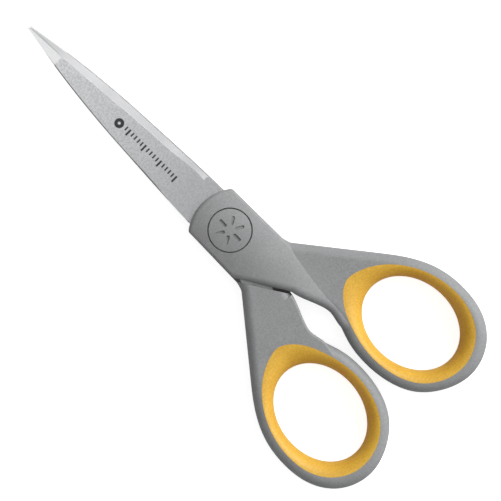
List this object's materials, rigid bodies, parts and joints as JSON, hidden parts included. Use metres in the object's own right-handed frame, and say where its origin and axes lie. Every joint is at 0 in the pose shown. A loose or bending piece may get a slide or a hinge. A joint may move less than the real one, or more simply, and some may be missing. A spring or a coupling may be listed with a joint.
{
  "type": "office scissors",
  "caption": "Small pointed scissors: steel blades moulded into ring handles with soft finger liners, turning on a spring-loaded shoulder screw under a round cap.",
  "frame": {"origin": "on the pivot axis, at the flat outer face of the pivot nut, which is the plane the closed scissors lie on", "axes": "+Y from the pivot towards the blade tips, +Z from the rear half up to the front half and its cap, +X towards the front half's finger ring"},
  "size_m": [0.0578, 0.1282, 0.009],
  "materials": {
    "blade_steel": "fine satin, ground bevels",
    "handle_plastic": "fine moulded texture",
    "liner_rubber": "smooth satin",
    "pivot_steel": "turned",
    "bush_brass": "turned",
    "washer_plastic": "plain",
    "cap_plastic": "fine moulded texture with a pressed pattern"
  },
  "bodies": {
    "rear_half": {"rear_blade": "blade_steel", "rear_handle": "handle_plastic", "rear_grip": "liner_rubber", "pivot_nut": "pivot_steel", "pivot_screw": "pivot_steel", "spring_washer": "pivot_steel", "blade_washer": "washer_plastic"},
    "front_half": {"front_blade": "blade_steel", "front_handle": "handle_plastic", "front_grip": "liner_rubber", "pivot_bush": "bush_brass", "pivot_cap": "cap_plastic"}
  },
  "joints": [
    {"name": "blade_pivot", "type": "hinge", "parent": "rear_half", "child": "front_half", "pos_m": [0, 0, 0.0045], "axis": [0, 0, 1], "range_deg": [0, 100]}
  ]
}
